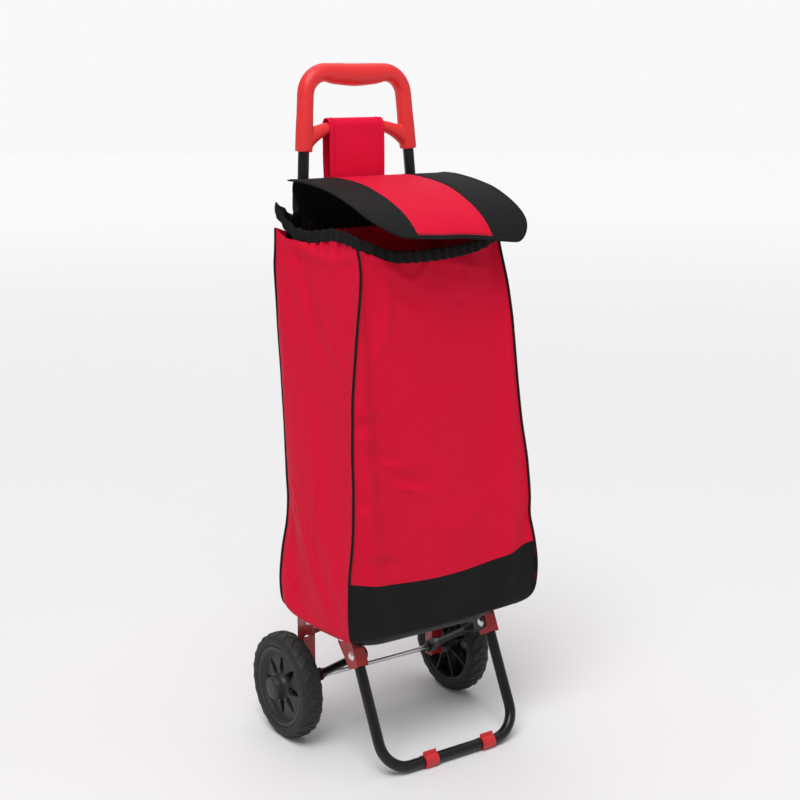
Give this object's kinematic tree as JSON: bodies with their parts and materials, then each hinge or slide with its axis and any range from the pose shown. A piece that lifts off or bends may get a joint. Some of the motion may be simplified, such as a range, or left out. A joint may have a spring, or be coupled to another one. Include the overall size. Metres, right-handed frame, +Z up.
{
  "type": "folding shopping trolley with bag",
  "caption": "Two-wheeled shopping trolley: tall red and black cloth bag with a flap, hung on a bent tube frame with a moulded handle and a folding front leg",
  "frame": {"origin": "on the ground, under the middle of the trolley's box; the axle is 69.25 mm behind it", "axes": "+X across the trolley, -Y toward its front, +Z up"},
  "size_m": [0.364, 0.2985, 0.9865],
  "materials": {
    "red_plastic": "satin moulded polypropylene",
    "black_paint": "gloss black powder coat on steel tube",
    "red_paint": "semi-gloss red paint on pressed steel",
    "zinc": "bright zinc plate",
    "black_plastic": "moulded dark grey plastic",
    "clip_plastic": "satin moulded plastic",
    "tyre": "hard foamed rubber",
    "red_cloth": "coated polyester weave",
    "black_cloth": "coated polyester weave",
    "board": "fibre board"
  },
  "bodies": {
    "frame": {"handle": "red_plastic", "handle_screws": "zinc", "upright_left": "black_paint", "upright_right": "black_paint", "rear_bracket_left": "red_paint", "rear_bracket_right": "red_paint", "upright_rivets": "zinc", "platform_rivets": "zinc", "axle": "zinc", "axle_spacers": "black_plastic", "axle_push_nuts": "zinc", "bag_front": "red_cloth", "bag_lower_band": "black_cloth", "bag_side_left": "red_cloth", "bag_side_right": "red_cloth", "bag_back": "red_cloth", "bag_bottom": "black_cloth", "base_board": "board", "piping_front_left": "black_cloth", "piping_front_right": "black_cloth", "piping_rear_left": "black_cloth", "piping_rear_right": "black_cloth", "gathered_hem": "black_cloth", "hood": "black_cloth", "strap": "red_cloth"},
    "wheel_left": {"rim_left": "black_plastic", "tyre_left": "tyre", "hub_cap_left": "black_plastic"},
    "wheel_right": {"rim_right": "black_plastic", "tyre_right": "tyre", "hub_cap_right": "black_plastic"},
    "platform": {"platform_tube": "black_paint", "hinge_rivets": "zinc"},
    "leg": {"leg_tube": "black_paint", "front_bracket_left": "red_paint", "front_bracket_right": "red_paint", "strut_rivets": "zinc", "foot_clip_left": "clip_plastic", "foot_clip_right": "clip_plastic"},
    "strut_left": {"strut_left": "black_paint"},
    "strut_right": {"strut_right": "black_paint"},
    "flap": {"flap_centre": "red_cloth", "flap_side_left": "black_cloth", "flap_side_right": "black_cloth", "flap_binding": "black_cloth"}
  },
  "joints": [
    {"name": "wheel_left_spin", "type": "hinge", "parent": "frame", "child": "wheel_left", "pos_m": [-0.1535, 0.06925, 0.08], "axis": [1, 0, 0], "continuous": true},
    {"name": "wheel_right_spin", "type": "hinge", "parent": "frame", "child": "wheel_right", "pos_m": [0.1535, 0.06925, 0.08], "axis": [1, 0, 0], "continuous": true},
    {"name": "fold", "type": "hinge", "parent": "frame", "child": "platform", "pos_m": [0, 0.04925, 0.177], "axis": [-1, 0, 0], "range_deg": [0, 42], "deforming": ["bag_front", "bag_lower_band", "bag_side_left", "bag_side_right", "bag_back", "bag_bottom", "base_board", "piping_front_left", "piping_front_right", "piping_rear_left", "piping_rear_right", "gathered_hem", "hood", "strap"]},
    {"name": "leg_swing", "type": "hinge", "parent": "platform", "child": "leg", "pos_m": [0, -0.04075, 0.1815], "axis": [-1, 0, 0], "range_deg": [-82.82, 0]},
    {"name": "strut_left_swing", "type": "hinge", "parent": "frame", "child": "strut_left", "pos_m": [-0.106, 0.06925, 0.08], "axis": [-1, 0, 0], "range_deg": [0, 23.18]},
    {"name": "strut_right_swing", "type": "hinge", "parent": "frame", "child": "strut_right", "pos_m": [0.106, 0.06925, 0.08], "axis": [-1, 0, 0], "range_deg": [0, 23.18]},
    {"name": "flap_open", "type": "hinge", "parent": "frame", "child": "flap", "pos_m": [0, 0.08915, 0.8253], "axis": [-1, 0, 0], "range_deg": [0, 85]}
  ],
  "couplings": [
    {"joint": "leg_swing", "follows": "fold", "ratio": -1.96},
    {"joint": "strut_left_swing", "follows": "fold", "ratio": 0.54},
    {"joint": "strut_right_swing", "follows": "fold", "ratio": 0.54}
  ]
}
